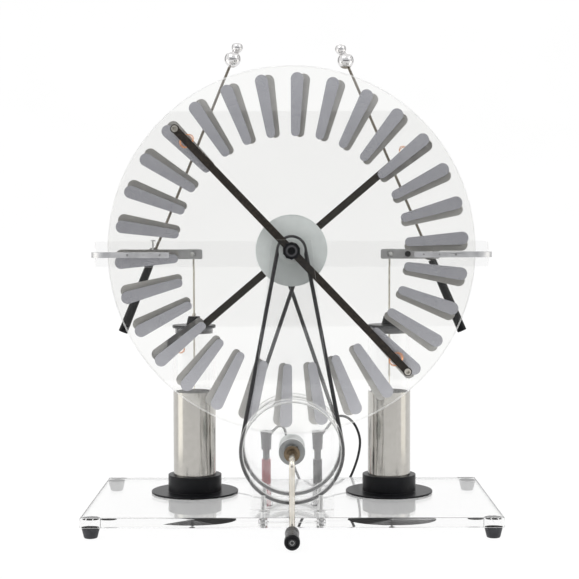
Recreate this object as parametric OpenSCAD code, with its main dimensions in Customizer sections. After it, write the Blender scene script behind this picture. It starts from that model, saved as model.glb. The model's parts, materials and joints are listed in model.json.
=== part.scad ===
// Hand-cranked Wimshurst machine: two counter-rotating sectored discs on one axle between clear
// uprights, driven by an open and a crossed belt, with charge combs, neutralizer bars, a pair of
// swinging discharge electrodes and two storage jars. Millimetres, +Z up, the feet stand on Z = 0,
// X is left to right, and Y runs away from the crank. The origin is the middle of the footprint.

/* [Base] */
// Width of the base plate
base_w = 365; // [355:1:400]
// Depth of the base plate
base_d = 200; // [190:1:240]
// Thickness of the base plate
base_t = 9; // [8:1:12]
// Height of the rubber feet
foot_h = 10; // [9:1:14]
// Distance from the base's edges to a foot's axis
foot_inset = 8.5; // [8:0.5:12]

/* [Uprights and crossbar] */
// Height of the disc axle above the base plate
axle_rise = 228.5; // [226:0.5:235]
// Height of the crank axle above the base plate
crank_rise = 50; // [49:0.5:51]
// Thickness of the uprights and of the crossbar
plate_t = 8; // [7:0.5:9]
// Width of an upright at the base
upright_w = 74; // [70:1:80]
// Width of an upright at its top
upright_top_w = 34.5; // [32:0.5:40]
// Height of an upright's straight-sided part
shoulder_rise = 68; // [66:1:80]
// Distance from the disc axle to an upright's top edge
upright_head = 9.6; // [9:0.1:12]
// Length of the crossbar
bar_w = 365; // [362:1:380]
// Height of the crossbar
bar_h = 24; // [23:1:28]
// Distance from the disc axle down to the line of combs and terminals
comb_drop = 4; // [3:0.5:5]

/* [Discs] */
// Diameter of a disc
disc_d = 330; // [320:1:332]
// Thickness of a disc
disc_t = 4; // [3.5:0.1:4]
// Gap between the two discs
disc_gap = 3; // [2.8:0.1:3]
// Distance from the base's middle forward to the plane between the discs
disc_forward = 29.8; // [28:0.1:31]
// Number of foil sectors on a disc
sector_count = 30; // [24:1:32]
// Distance from the axle to a sector's inner tip
sector_in = 102; // [100:1:108]
// Distance from the axle to a sector's outer tip
sector_out = 159; // [150:1:160]
// Width of a sector's round outer end
sector_wide = 11.5; // [10:0.5:12]
// Width of a sector's round inner end
sector_narrow = 8; // [7:0.5:9]
// Angle of the front disc's first sector, clockwise from the top
front_phase = 2; // [0:0.5:11]
// Angle of the rear disc's first sector, clockwise from the top
rear_phase = 4.2; // [0:0.1:11]

/* [Drive] */
// Diameter of the round belts
belt_d = 3.6; // [3.4:0.1:4]
// Pitch radius of a drive wheel's groove
wheel_pitch = 45.5; // [44:0.5:46]
// Pitch radius of a disc pulley's groove
pulley_pitch = 12; // [11.8:0.1:12.6]
// Diameter of the crank rod
rod_d = 5; // [4.8:0.1:5]
// Length of the crank arm, axis to axis
crank_arm = 60.8; // [58:0.1:61]
// Distance from the base's middle forward to the crank arm
arm_forward = 104; // [104:0.5:106]
// Distance from the base's middle forward to the handle's front end
crank_reach = 150; // [140:1:155]
// Diameter of the crank handle
grip_d = 13.2; // [12:0.2:13.2]

/* [Combs, neutralizers and electrodes] */
// Distance from the axle to a comb's outer bend
comb_reach = 179.5; // [178:0.5:182]
// Distance from the axle to the comb arms' inner ends
comb_in = 109.3; // [108:0.1:112]
// Height of the comb strip
comb_h = 5; // [4:0.5:6]
// Distance from the middle to an electrode's pivot
stud_x = 128.6; // [128:0.1:129]
// Length of an electrode from its pivot to the large ball's centre
electrode_l = 196; // [190:1:197]
// Diameter of the large discharge balls
ball_d = 15.5; // [14:0.1:16]
// Diameter of the small discharge balls
small_ball_d = 10.6; // [9:0.1:11]
// Inward tilt of the left electrode at rest
left_tilt = 22.2; // [18:0.1:24]
// Inward tilt of the right electrode at rest
right_tilt = 23.4; // [18:0.1:24]
// Tilt of the front neutralizer bar, clockwise from level
front_bar_tilt = 46.3; // [44:0.1:50]
// Tilt of the rear neutralizer bar, anticlockwise from level
rear_bar_tilt = 40.4; // [38:0.1:48]
// Distance from the axle to a neutralizer bar's brush holder
holder_r = 148.1; // [146:0.1:149]

/* [Jars] */
// Distance from the middle to a jar's axis
jar_x = 91.5; // [91:0.1:92]
// Outer diameter of a jar over its foil
jar_d = 40; // [39:0.5:40]
// Height of a jar's lid above the base plate
jar_h = 158.2; // [150:0.1:160]
// Height of the outer foil above the base plate
foil_h = 95.8; // [90:0.1:105]
// Diameter of the jar socket's foot flange
flange_d = 81.5; // [70:0.5:82]
// Diameter of the jar socket's cup
cup_d = 50; // [48:0.5:52]
// Height of the jar socket's cup above the base plate
cup_h = 17.2; // [14:0.1:20]

/* [Hidden] */
$fn = 96;

// Fits: a seated joint, a running shaft and the air between moving neighbours
seat = 0.02;
run = 0.06;
air = 0.3;

// Heights
base_top = foot_h + base_t;
axle_z = base_top + axle_rise;
crank_z = base_top + crank_rise;
comb_z = axle_z - comb_drop;
crossbar_top = comb_z + bar_h / 2;
grip_z = crank_z - crank_arm;

// Y of the base's middle, so that handle and back edge lie evenly about the origin
base_y = (crank_reach - base_d / 2) / 2;
// Y of the plane between the discs: everything on the axle is measured outwards from it
mid_y = base_y - disc_forward;

// Distances outwards from the plane between the discs
disc_near = disc_gap / 2;
disc_far = disc_near + disc_t;
sector_t = 0.4;
boss_far = disc_far + 9;
belt_out = 22.9;
pulley_far = 26.2;
bar_near = 26.7;
bar_far = 29.7;
upright_near = 30.2;
upright_far = upright_near + plate_t;
crossbar_far = upright_far + plate_t;
electrode_out = crossbar_far + 5.6;
block_far = crossbar_far + 10.9;
arm_out = arm_forward - disc_forward;
grip_out = crank_reach - disc_forward;

// Radii and thicknesses
axle_r = 4;
boss_r = 32;
pulley_r = 11.4;
groove_r = belt_d / 2 + air;
wheel_r = wheel_pitch + 1.7;
wheel_t = 6.5;
rod_r = rod_d / 2;
hub_r = 11.7;
rear_hub_r = 8.5;
bush_r = 5.5;
bush_flange_r = 7.15;
bush_flange_t = 1.5;
bend_r = 6;
screw_r = 1.5;
bolt_r = 2;
stud_r = 2.5;
standoff_r = 3.15;
journal_r = 2;
comb_t = 1.5;
comb_half = 13.2;
link_t = 1.5;
link_h = 9;
pin_r = 0.6;
comb_pin_x = [117.6, 132, 146.5];
plate_screw_x = 107.4;
link_in = 82.5;
link_out = 137.1;
upright_bolt_x = 25.6;
crossbar_screw_x = 12.5;
foil_t = 0.28;
glass_t = 2;
glass_r = jar_d / 2 - foil_t - seat;
jar_floor = base_top + 3;
jar_rod_r = 0.9;
jar_rod_end = base_top + 109.5;
lid_t = 2.7;
knob_h = 8;
flange_t = 1.8;
socket_x = 25;
socket_y = base_y + 75;
socket_r = 4.4;
socket_h = 23.9;
plug_pin_r = 2;
jar_y = mid_y + electrode_out;

// ---------------------------------------------------------------- helpers

// Pieces in front of the discs are drawn with +Y outwards from the middle plane and mirrored
module in_front() translate([0, mid_y, 0]) mirror([0, 1, 0]) children();
module behind() translate([0, mid_y, 0]) children();
module both_sides() {
    children();
    mirror([1, 0, 0]) children();
}
// Extrudes an (x, z) outline along +Y from y0
module plate(y0, t) translate([0, y0 + t, 0]) rotate([90, 0, 0]) linear_extrude(t) children();
// Cylinder along Y, from y0 to y1
module shaft(r, y0, y1) translate([0, y1, 0]) rotate([90, 0, 0]) cylinder(r = r, h = y1 - y0);
// Cylinder up along Z, from z0 to z1
module post(r, z0, z1) translate([0, 0, z0]) cylinder(r = r, h = z1 - z0);
// Ring of round section around the Y axis
module ring(r, wire_r, y) translate([0, y, 0]) rotate([90, 0, 0]) rotate_extrude()
    translate([r, 0]) circle(wire_r);
// Quarter bend in the YZ plane from angle a to a + 90, measured from +Y towards +Z
module bend(a) rotate([90, 0, 90]) rotate([0, 0, a]) rotate_extrude(angle = 90)
    translate([bend_r, 0]) circle(rod_r);

function unit(v) = v / norm(v);
function ring_at(p, u, v, r, sides) =
    [for (k = [0:sides - 1]) p + r * (cos(360 * k / sides) * u + sin(360 * k / sides) * v)];
// Side directions that turn with a path without twisting about it
function carried(t, i = 0, last = [0, 0, 0]) =
    i == len(t) ? [] :
    let (start = abs(t[i][2]) < 0.9 ? [0, 0, 1] : [0, 1, 0],
         from = i == 0 ? start : last,
         u = unit(from - (from * t[i]) * t[i]))
    concat([u], carried(t, i + 1, u));
function band(n, sides, rings) =
    [for (i = [0:rings - 1], k = [0:sides - 1])
        let (a = i * sides + k, b = i * sides + (k + 1) % sides,
             c = ((i + 1) % n) * sides + k, d = ((i + 1) % n) * sides + (k + 1) % sides)
        each [[a, c, b], [b, c, d]]];

// Round tube along an open path
module open_tube(path, r, sides) {
    n = len(path);
    t = [for (i = [0:n - 1]) unit(path[min(i + 1, n - 1)] - path[max(i - 1, 0)])];
    side = carried(t);
    points = [for (i = [0:n - 1]) each ring_at(path[i], side[i], cross(t[i], side[i]), r, sides)];
    near_cap = [for (k = [0:sides - 1]) k];
    far_cap = [for (k = [0:sides - 1]) (n - 1) * sides + sides - 1 - k];
    polyhedron(points, concat(band(n, sides, n - 1), [near_cap, far_cap]), convexity = 10);
}
// Round tube along a closed path that runs mostly in the XZ plane
module closed_tube(path, r, sides) {
    n = len(path);
    t = [for (i = [0:n - 1]) unit(path[(i + 1) % n] - path[(i + n - 1) % n])];
    u = [for (i = [0:n - 1]) unit([0, 1, 0] - t[i][1] * t[i])];
    points = [for (i = [0:n - 1]) each ring_at(path[i], u[i], cross(t[i], u[i]), r, sides)];
    polyhedron(points, band(n, sides, n), convexity = 10);
}
// One point added halfway along each span of a hand-laid route, on its smooth curve
function halfway(p, i) =
    let (a = p[max(i - 1, 0)], b = p[i], c = p[i + 1], d = p[min(i + 2, len(p) - 1)])
    (9 * (b + c) - a - d) / 16;
function smooth(p) = [for (i = [0:len(p) - 2]) each [p[i], halfway(p, i)], p[len(p) - 1]];

// ---------------------------------------------------------------- base and frame

module at_feet() for (sx = [-1, 1], sy = [-1, 1])
    translate([sx * (base_w / 2 - foot_inset), base_y + sy * (base_d / 2 - foot_inset), 0])
        children();
module at_upright_bolts() for (sx = [-1, 1], sy = [-1, 1])
    translate([sx * upright_bolt_x, mid_y + sy * (upright_near + plate_t / 2), 0]) children();
module at_jars() both_sides() translate([jar_x, jar_y, 0]) children();
module at_sockets() both_sides() translate([socket_x, socket_y, 0]) children();

module base_plate() color("whitesmoke", 0.35) difference() {
    translate([-base_w / 2, base_y - base_d / 2, foot_h]) cube([base_w, base_d, base_t]);
    at_upright_bolts() {
        post(bolt_r + seat, foot_h - 1, base_top + 1);
        post(3.7, foot_h - 1, foot_h + 3);
    }
    at_jars() {
        post(screw_r + seat, foot_h - 1, base_top + 1);
        post(2.9, foot_h - 1, foot_h + 2);
    }
    at_sockets() post(plug_pin_r + seat, foot_h - 1, base_top + 1);
}

// Moulded feet glued under the corners
module rubber_feet() color("dimgray") at_feet() rotate_extrude() polygon([
    [0, 0], [4.6, 0], [5.5, 0.3], [6, 1.1], [8.1, foot_h - 0.4], [7.9, foot_h], [0, foot_h]
]);

// A screw from below: its head from z0 to z1 and its shank on up to z2
module screw_up(head_r, shank_r, z0, z1, z2) {
    post(head_r, z0, z1);
    post(shank_r, z0, z2);
}

module frame_screws() color("darkgray") {
    at_upright_bolts() screw_up(3.5, bolt_r, foot_h + 0.2, foot_h + 3, base_top + 12);
    at_jars() screw_up(2.75, screw_r, foot_h + 0.2, foot_h + 2, jar_floor - 0.2);
    behind() both_sides() translate([crossbar_screw_x, 0, comb_z]) {
        shaft(2.75, crossbar_far, crossbar_far + 2);
        shaft(screw_r, crossbar_far - 14, crossbar_far + 1);
    }
}

// Outline of an upright in (x, z), with its axle hole and its crank bush hole
module upright_outline() difference() {
    polygon([
        [-upright_w / 2, base_top], [upright_w / 2, base_top],
        [upright_w / 2, base_top + shoulder_rise], [upright_top_w / 2, axle_z + upright_head],
        [-upright_top_w / 2, axle_z + upright_head], [-upright_w / 2, base_top + shoulder_rise]
    ]);
    translate([0, axle_z]) circle(axle_r + seat);
    translate([0, crank_z]) circle(bush_r + seat);
}
module upright() difference() {
    plate(upright_near, plate_t) upright_outline();
    both_sides() translate([upright_bolt_x, upright_near + plate_t / 2, 0])
        post(bolt_r + seat, base_top - 1, base_top + 12.5);
}

module front_upright() color("whitesmoke", 0.35) in_front() upright();

module rear_upright() color("whitesmoke", 0.35) behind() difference() {
    upright();
    both_sides() translate([crossbar_screw_x, 0, comb_z])
        shaft(screw_r + seat, upright_far - 6.5, upright_far + 1);
}

module crossbar() color("whitesmoke", 0.35) behind() difference() {
    plate(upright_far, plate_t) translate([-bar_w / 2, crossbar_top - bar_h])
        square([bar_w, bar_h]);
    translate([0, 0, axle_z]) shaft(axle_r + seat, upright_far - 1, crossbar_far + 1);
    both_sides() {
        translate([crossbar_screw_x, 0, comb_z])
            shaft(screw_r + seat, upright_far - 1, crossbar_far + 1);
        translate([jar_x, 0, comb_z]) shaft(screw_r + seat, upright_far - 1, crossbar_far + 1);
        translate([stud_x, 0, comb_z]) shaft(stud_r + seat, upright_far - 1, crossbar_far + 1);
        translate([plate_screw_x, 0, comb_z])
            shaft(screw_r + seat, upright_far - 1, upright_far + 5);
        translate([stud_x, upright_far + plate_t / 2, 0])
            post(0.9 + seat, comb_z + stud_r, crossbar_top + 1);
    }
}

module main_axle() color("silver") behind() translate([0, 0, axle_z])
    shaft(axle_r, -upright_far - 7, crossbar_far + 7);

module axle_spacer() color("tan") behind() translate([0, 0, axle_z]) difference() {
    shaft(6.5, air - disc_near, disc_near - air);
    shaft(axle_r + seat, -disc_near, disc_near);
}

// Flanged bush: its flange on an upright's outer face
module bush() translate([0, 0, crank_z]) difference() {
    union() {
        shaft(bush_r, upright_near, upright_far);
        shaft(bush_flange_r, upright_far, upright_far + bush_flange_t);
    }
    shaft(rod_r + run, upright_near - 1, upright_far + bush_flange_t + 1);
}
module crank_bushes() color("silver") {
    in_front() bush();
    behind() bush();
}

// ---------------------------------------------------------------- combs and terminals

module stadium(half) {
    translate([comb_reach - comb_half, 0]) circle(half);
    translate([comb_in - 1, -half]) square([comb_reach - comb_half - comb_in + 1, 2 * half]);
}
// U-shaped strip round a disc's edge, on the right-hand side
module comb() behind() difference() {
    translate([0, 0, comb_z - comb_h / 2]) linear_extrude(comb_h) difference() {
        stadium(comb_half + comb_t / 2);
        stadium(comb_half - comb_t / 2);
        translate([comb_in - 2, -2 * comb_half]) square([2, 4 * comb_half]);
    }
    for (x = comb_pin_x) translate([x, 0, comb_z])
        shaft(pin_r + seat, -comb_half - 2, comb_half + 2);
    translate([stud_x, 0, comb_z]) shaft(screw_r + seat, comb_half - 2, comb_half + 2);
}
module left_comb() color("gray") mirror([1, 0, 0]) comb();
module right_comb() color("gray") comb();

// Points that face both discs; the front ones are riveted over outside their strip
module comb_pins() color("lightgray") both_sides() for (x = comb_pin_x) {
    outside = comb_half + comb_t / 2;
    in_front() translate([x, 0, comb_z]) {
        shaft(pin_r, 7.2, outside);
        shaft(1, outside, outside + 0.4);
    }
    behind() translate([x, 0, comb_z]) shaft(pin_r, 7.2, outside);
}

// Standoff from the comb to the crossbar, through it, and on as the electrode's journal
module terminal_studs() color("silver") behind() both_sides()
    translate([stud_x, 0, comb_z]) difference() {
        union() {
            shaft(standoff_r, comb_half + comb_t / 2, upright_far - link_t);
            shaft(stud_r, upright_far - link_t, crossbar_far);
            shaft(journal_r, crossbar_far, block_far + 3.3);
        }
        shaft(screw_r + seat, comb_half - 2, comb_half + 8);
    }

module stud_nuts() color("silver") behind() both_sides()
    translate([stud_x, 0, comb_z]) difference() {
        shaft(4, block_far + air, block_far + 3.2);
        shaft(journal_r + seat, block_far, block_far + 4);
    }

module link_plates() color("gray") behind() both_sides() difference() {
    plate(upright_far - link_t, link_t) translate([0, comb_z]) {
        corner = 1.5;
        translate([link_in, corner - link_h / 2]) square([link_out - link_in, link_h - 2 * corner]);
        translate([link_in + corner, -link_h / 2]) square([link_out - link_in - 2 * corner, link_h]);
        for (x = [link_in + corner, link_out - corner], z = [-1, 1])
            translate([x, z * (link_h / 2 - corner)]) circle(corner);
    }
    translate([0, 0, comb_z]) {
        translate([stud_x, 0, 0]) shaft(stud_r + seat, upright_far - 3, upright_far + 1);
        translate([jar_x, 0, 0]) shaft(screw_r + seat, upright_far - 3, upright_far + 1);
        translate([plate_screw_x, 0, 0]) shaft(screw_r + seat, upright_far - 3, upright_far + 1);
    }
}

// Dome-headed jar screws, comb screws and the lock screws that stand in the crossbar's top edge
module terminal_screws() color("silver") behind() both_sides() {
    plate_front = upright_far - link_t;
    translate([jar_x, 0, comb_z]) {
        shaft(screw_r, plate_front - 0.4, crossbar_far + 3);
        shaft(3.2, plate_front - 0.4, plate_front);
        intersection() {
            translate([0, plate_front - 0.1, 0]) sphere(2.2);
            shaft(3, plate_front - 4, plate_front - 0.4);
        }
    }
    translate([stud_x, 0, comb_z]) {
        shaft(2.5, comb_half - comb_t / 2 - 1.8, comb_half - comb_t / 2);
        shaft(screw_r, comb_half - comb_t / 2 - 1, comb_half + 7);
    }
    translate([stud_x, upright_far + plate_t / 2, 0]) {
        post(0.9, comb_z + stud_r + seat, crossbar_top + 0.5);
        post(2.2, crossbar_top, crossbar_top + 0.9);
    }
}

module plate_screws() color("#202022") behind() both_sides()
    translate([plate_screw_x, 0, comb_z]) {
        shaft(2.7, upright_far - link_t - 1.6, upright_far - link_t);
        shaft(screw_r, upright_far - link_t - 1, upright_far + 4.5);
    }

// Block behind the crossbar that holds a jar rod's threaded top
module jar_terminals() color("silver") behind() both_sides() difference() {
    translate([jar_x - 4, crossbar_far, comb_z - 4.5]) cube([8, block_far - crossbar_far, 9]);
    translate([jar_x, 0, comb_z]) shaft(screw_r + seat, crossbar_far - 1, crossbar_far + 3.2);
    translate([jar_x, electrode_out, 0]) post(jar_rod_r + seat, comb_z - 6, comb_z + 2);
}

// ---------------------------------------------------------------- storage jars

module jar_cups() color("#1b1c20") at_jars() difference() {
    union() {
        post(flange_d / 2, base_top, base_top + flange_t);
        post(cup_d / 2, base_top, base_top + cup_h);
    }
    post(jar_d / 2 + seat, jar_floor, base_top + cup_h + 1);
    post(screw_r + seat, base_top - 1, jar_floor + 1);
}

module jar_tube() translate([jar_x, jar_y, 0]) difference() {
    post(glass_r, jar_floor, base_top + jar_h - lid_t);
    post(glass_r - glass_t, jar_floor + glass_t, base_top + jar_h);
}
module left_jar_tube() color("whitesmoke", 0.35) mirror([1, 0, 0]) jar_tube();
module right_jar_tube() color("whitesmoke", 0.35) jar_tube();

module sleeve(outer, inner, z0, z1) difference() {
    post(outer, z0, z1);
    post(inner, z0 - 1, z1 + 1);
}
module outer_foils() color("silver") at_jars()
    sleeve(glass_r + seat + foil_t, glass_r + seat, jar_floor, base_top + foil_h);
module inner_foils() color("silver") at_jars() sleeve(
    glass_r - glass_t - seat, glass_r - glass_t - seat - foil_t,
    jar_floor + glass_t, base_top + foil_h - 3);

// Lid with a plug that reaches into the tube and a turned cone for the rod to pass through
module jar_lids() color("#1b1c20") at_jars() difference() {
    union() {
        post(jar_d / 2 + 0.2, base_top + jar_h - lid_t, base_top + jar_h);
        post(glass_r - glass_t - seat, base_top + jar_h - lid_t - 5, base_top + jar_h - 1);
        translate([0, 0, base_top + jar_h]) cylinder(r1 = 7.4, r2 = 5.4, h = knob_h);
    }
    post(jar_rod_r + seat, base_top + jar_h - 10, base_top + jar_h + knob_h + 1);
}

module jar_rods() color("silver") at_jars() {
    post(jar_rod_r, jar_rod_end, comb_z + 1.5);
    post(1.8, base_top + jar_h + knob_h, base_top + jar_h + knob_h + 2.6);
}

// Fine wire from a rod's end down to a spring foot that presses on the inner foil
module jar_contacts() color("goldenrod") at_jars() {
    post(0.25, jar_floor + glass_t + 18, jar_rod_end);
    translate([0, 0, jar_floor + glass_t + 18]) rotate([0, 90, 0])
        cylinder(r = 0.4, h = glass_r - glass_t - seat - foil_t);
}

// ---------------------------------------------------------------- sockets, plugs and leads

module socket() translate([socket_x, socket_y, 0]) difference() {
    union() {
        post(socket_r, base_top, base_top + socket_h);
        post(plug_pin_r, 4, base_top + 1);
    }
    post(plug_pin_r + seat, base_top + 4, base_top + socket_h + 1);
}
module red_socket() color("crimson") mirror([1, 0, 0]) socket();
module black_socket() color("#202024") socket();

module socket_nuts() color("silver") at_sockets() difference() {
    translate([0, 0, foot_h - 3]) cylinder(r = 4, h = 3, $fn = 6);
    post(plug_pin_r + seat, 0, foot_h);
}

// Stackable plug: pin, sleeve, tapered body with a rim, an empty top socket and a lead outlet
plug_top = base_top + 51.5;
plug_body = base_top + 33.6;
outlet_tilt = 45;
module patch_plugs() color("#2a2a30") for (s = [-1, 1])
    translate([s * socket_x, socket_y, 0]) difference() {
    union() {
        post(plug_pin_r, base_top + 5, plug_body);
        post(3.25, base_top + socket_h + 0.6, plug_body);
        translate([0, 0, plug_body]) cylinder(r1 = 4.7, r2 = 5.4, h = plug_top - plug_body);
        post(5.7, plug_top - 3, plug_top - 0.8);
        translate([3, 0, plug_top - 3.4]) rotate([0, outlet_tilt, 0])
            cylinder(r1 = 2.2, r2 = 1.7, h = 5);
    }
    post(plug_pin_r + seat, plug_top - 12, plug_top + 6);
}

// Hand-laid route of the patch lead, given from the base's middle: out of the left plug, over
// the base's back edge, a loose loop on the table and up into the right plug
lead_d = 2.5;
lead_points = [
    [-18.4, 75, 70.7], [-16.2, 75.2, 72.9], [-12.8, 77, 75.2], [-9, 81, 74.2], [-6.5, 85, 69],
    [-5, 90, 59], [-2, 97, 46], [1.5, 103.5, 33], [5.5, 107, 22], [10.5, 109, 11.6],
    [17, 111, 4.6], [25, 113.5, 1.7], [34, 114.5, 1.5], [43, 113, 2.2], [50.5, 110.5, 6.7],
    [57, 107.5, 15], [62.5, 103.5, 28], [66.5, 98, 43], [67.5, 92.5, 58], [63, 87, 72],
    [55, 82.5, 81.3], [46, 79, 83.4], [38.6, 76.4, 79.2], [34, 75.2, 73.3], [31.6, 75, 70.7]
];
module patch_lead() color("#202024") open_tube(
    smooth([for (p = lead_points) p + [0, base_y, 0]]), lead_d / 2, 8);

// Each jar's wire runs under the base to the stem of its socket
wire_d = 1.4;
wire_z = foot_h - 0.8;
wire_points = [
    [58, 30], [51, 27], [43, 19.5], [35, 11], [28.6, 3], [24.8, -7], [23.6, -20], [22.4, -29],
    [20, -32], [17.9, -28], [18, -18], [19, 0], [19.6, 20], [19.8, 45], [19.8, 62], [20.2, 68],
    [22.2, 70.4]
];
module jar_wires() color("#3a3a3e") both_sides() open_tube(
    smooth([for (p = wire_points) [p[0], base_y + p[1], wire_z]]), wire_d / 2, 8);

// ---------------------------------------------------------------- belts

pulley_steps = 18;
wheel_steps = 40;
strand_steps = 12;
function on_circle(r, a, z) = [r * cos(a), 0, z + r * sin(a)];
function arc(r, a, b, z, n) = [for (k = [0:n]) on_circle(r, a + (b - a) * k / n, z)];
// Points inside a straight strand; lift moves them aside most at share c of the way
function strand(p, q, lift, c) = [for (k = [1:strand_steps - 1])
    let (s = k / strand_steps, part = s < c ? s / c : (1 - s) / (1 - c))
    p + (q - p) * s + [0, lift * pow(sin(90 * part), 2), 0]];
// Closed path over the pulley and round the drive wheel; turn is -1 open and +1 crossed
function belt_path(turn, lift) =
    let (a = asin((wheel_pitch + turn * pulley_pitch) / (axle_z - crank_z)),
         share = pulley_pitch / (pulley_pitch + wheel_pitch),
         top = arc(pulley_pitch, -turn * a, 180 + turn * a, axle_z, pulley_steps),
         low = turn < 0
            ? arc(wheel_pitch, 180 - a, 360 + a, crank_z, wheel_steps)
            : arc(wheel_pitch, a, -180 - a, crank_z, wheel_steps))
    concat(
        top, strand(top[pulley_steps], low[0], lift, share),
        low, strand(low[wheel_steps], top[0], -lift, 1 - share));

module front_belt() color("#232326") in_front() translate([0, belt_out, 0])
    closed_tube(belt_path(-1, 0), belt_d / 2, 12);
module rear_belt() color("#232326") behind() translate([0, belt_out, 0])
    closed_tube(belt_path(1, belt_d / 2 + air / 2), belt_d / 2, 12);

// ---------------------------------------------------------------- crank

// The whole rod, drawn outwards from the middle plane towards the crank
module crank_rod() color("silver") in_front() {
    translate([0, 0, crank_z]) shaft(rod_r, -upright_far - 9, arm_out - bend_r);
    translate([0, arm_out - bend_r, crank_z - bend_r]) bend(0);
    translate([0, arm_out, 0]) post(rod_r, grip_z + bend_r, crank_z - bend_r);
    translate([0, arm_out + bend_r, grip_z + bend_r]) bend(180);
    translate([0, 0, grip_z]) shaft(rod_r, arm_out + bend_r, grip_out - 4);
}

// Turned wheel with a round-bottomed groove and lightly broken edges
module drive_wheel(bore) translate([0, belt_out, crank_z]) rotate([90, 0, 0]) {
    half = wheel_t / 2;
    edge = 0.4;
    groove = [for (a = [-90:-22.5:-270]) [wheel_pitch + groove_r * cos(a), groove_r * sin(a)]];
    rotate_extrude() polygon(concat(
        [[bore + seat, -half], [wheel_r - edge, -half], [wheel_r, edge - half],
         [wheel_r, -groove_r]],
        groove,
        [[wheel_r, groove_r], [wheel_r, half - edge], [wheel_r - edge, half],
         [bore + seat, half]]));
}
module front_drive_wheel() color("whitesmoke", 0.35) in_front() drive_wheel(hub_r);
module rear_drive_wheel() color("whitesmoke", 0.35) behind() drive_wheel(rear_hub_r);

wheel_face = belt_out + wheel_t / 2;
// Long hub of the front wheel, which carries the wheel at its outer end
module front_wheel_hub() color("#b4bab8") in_front() translate([0, 0, crank_z]) difference() {
    shaft(hub_r, -9.8, wheel_face + 0.2);
    shaft(rod_r + seat, -11, wheel_face + 1);
    translate([4.1, 0, 4.1]) shaft(1.3 + seat, wheel_face - 8, wheel_face + 1);
}
module rear_wheel_hub() color("#b4bab8") behind() translate([0, 0, crank_z]) difference() {
    shaft(rear_hub_r, 10.2, wheel_face);
    shaft(rod_r + seat, 9, wheel_face + 1);
}

// Spacers beside the uprights, the hexagon nut, the rear collar and the hub's grub screw
module on_rod(y0, y1, r, sides) difference() {
    translate([0, y1, 0]) rotate([90, 0, 0]) cylinder(r = r, h = y1 - y0, $fn = sides);
    shaft(rod_r + seat, y0 - 1, y1 + 1);
}
module crank_collars() color("silver") {
    outside = upright_far + bush_flange_t + air;
    in_front() translate([0, 0, crank_z]) {
        on_rod(wheel_face + 0.2, upright_near - air, 4.5, 48);
        on_rod(outside, outside + 5, 4.4, 6);
        translate([4.1, 0, 4.1]) shaft(1.3, wheel_face - 7, wheel_face - 0.6);
    }
    behind() translate([0, 0, crank_z]) {
        on_rod(wheel_face, upright_near - air, 4.5, 48);
        on_rod(outside, outside + 6, 5, 48);
    }
}

// Turned handle that spins freely on the rod's end
grip_near = arm_out + bend_r + air;
module crank_grip() color("#1b1b1e") in_front() translate([0, 0, grip_z]) difference() {
    translate([0, grip_near, 0]) rotate([-90, 0, 0]) rotate_extrude() polygon([
        [0, 0], [grip_d / 2 - 1.6, 0], [grip_d / 2 - 0.6, 0.8], [grip_d / 2 - 0.4, 3],
        [grip_d / 2 - 0.9, 14], [grip_d / 2, 32], [grip_d / 2, grip_out - grip_near - 1.2],
        [grip_d / 2 - 1.2, grip_out - grip_near], [0, grip_out - grip_near]
    ]);
    shaft(rod_r + run, grip_near - 1, grip_out + 1);
    shaft(4, grip_out - 4.3, grip_out + 1);
}
module grip_screw() color("silver") in_front() translate([0, 0, grip_z]) {
    shaft(3.6, grip_out - 4, grip_out - 1.2);
}

// ---------------------------------------------------------------- discs

module disc() translate([0, 0, axle_z]) difference() {
    shaft(disc_d / 2, disc_near, disc_far);
    shaft(axle_r + 2 + seat, disc_near - 1, disc_far + 1);
}
module front_disc() color("whitesmoke", 0.3) in_front() disc();
module rear_disc() color("whitesmoke", 0.3) behind() disc();

// Keystone with round ends, standing up from the axle along +z
module sector_outline() {
    low = sector_narrow / 2;
    high = sector_wide / 2;
    low_z = sector_in + low;
    high_z = sector_out - high;
    lean = asin((high - low) / (high_z - low_z));
    translate([0, low_z]) circle(low);
    translate([0, high_z]) circle(high);
    polygon([for (p = [[1, low, low_z], [1, high, high_z], [-1, high, high_z], [-1, low, low_z]])
        [p[0] * p[1] * cos(lean), p[2] - p[1] * sin(lean)]]);
}
module sectors(phase) translate([0, 0, axle_z]) for (k = [0:sector_count - 1])
    rotate([0, phase + 360 * k / sector_count, 0]) plate(disc_far, sector_t) sector_outline();
module front_sectors() color("#8d8d92") in_front() sectors(front_phase);
module rear_sectors() color("#8a8987") behind() sectors(rear_phase);

// Boss glued to a disc, turned in one piece with its pulley, and a bush's bore through it
module boss() translate([0, 0, axle_z]) difference() {
    union() {
        shaft(boss_r, disc_far, boss_far - 1);
        shaft(boss_r - 1, disc_far, boss_far);
        shaft(pulley_r, disc_far, pulley_far);
        shaft(axle_r + 2, disc_near, disc_far + 1);
    }
    ring(pulley_pitch, groove_r, belt_out);
    shaft(axle_r + run, 0, pulley_far + 1);
}
module front_boss() color("#bcc4c0") in_front() boss();
module rear_boss() color("#bcc4c0") behind() boss();

// ---------------------------------------------------------------- neutralizers

// Bar along x in (x, z), widened round the axle and round its two brush holders
module bar_outline() difference() {
    union() {
        translate([-holder_r, -3.4]) square([2 * holder_r, 6.8]);
        circle(7.5);
        for (s = [-1, 1]) translate([s * holder_r, 0]) circle(3.9);
    }
    circle(axle_r + run);
    for (s = [-1, 1]) translate([s * holder_r, 0]) circle(2.95 + seat);
}
module tilted(a) translate([0, 0, axle_z]) rotate([0, a, 0]) children();
module both_ends() {
    children();
    rotate([0, 180, 0]) children();
}
module front_bar() color("#2b2622") in_front() tilted(front_bar_tilt)
    plate(bar_near, bar_far - bar_near) bar_outline();
module rear_bar() color("#2b2622") behind() tilted(-rear_bar_tilt)
    plate(bar_near, bar_far - bar_near) bar_outline();

holder_near = 19.5;
tail_r = 0.8;
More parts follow.
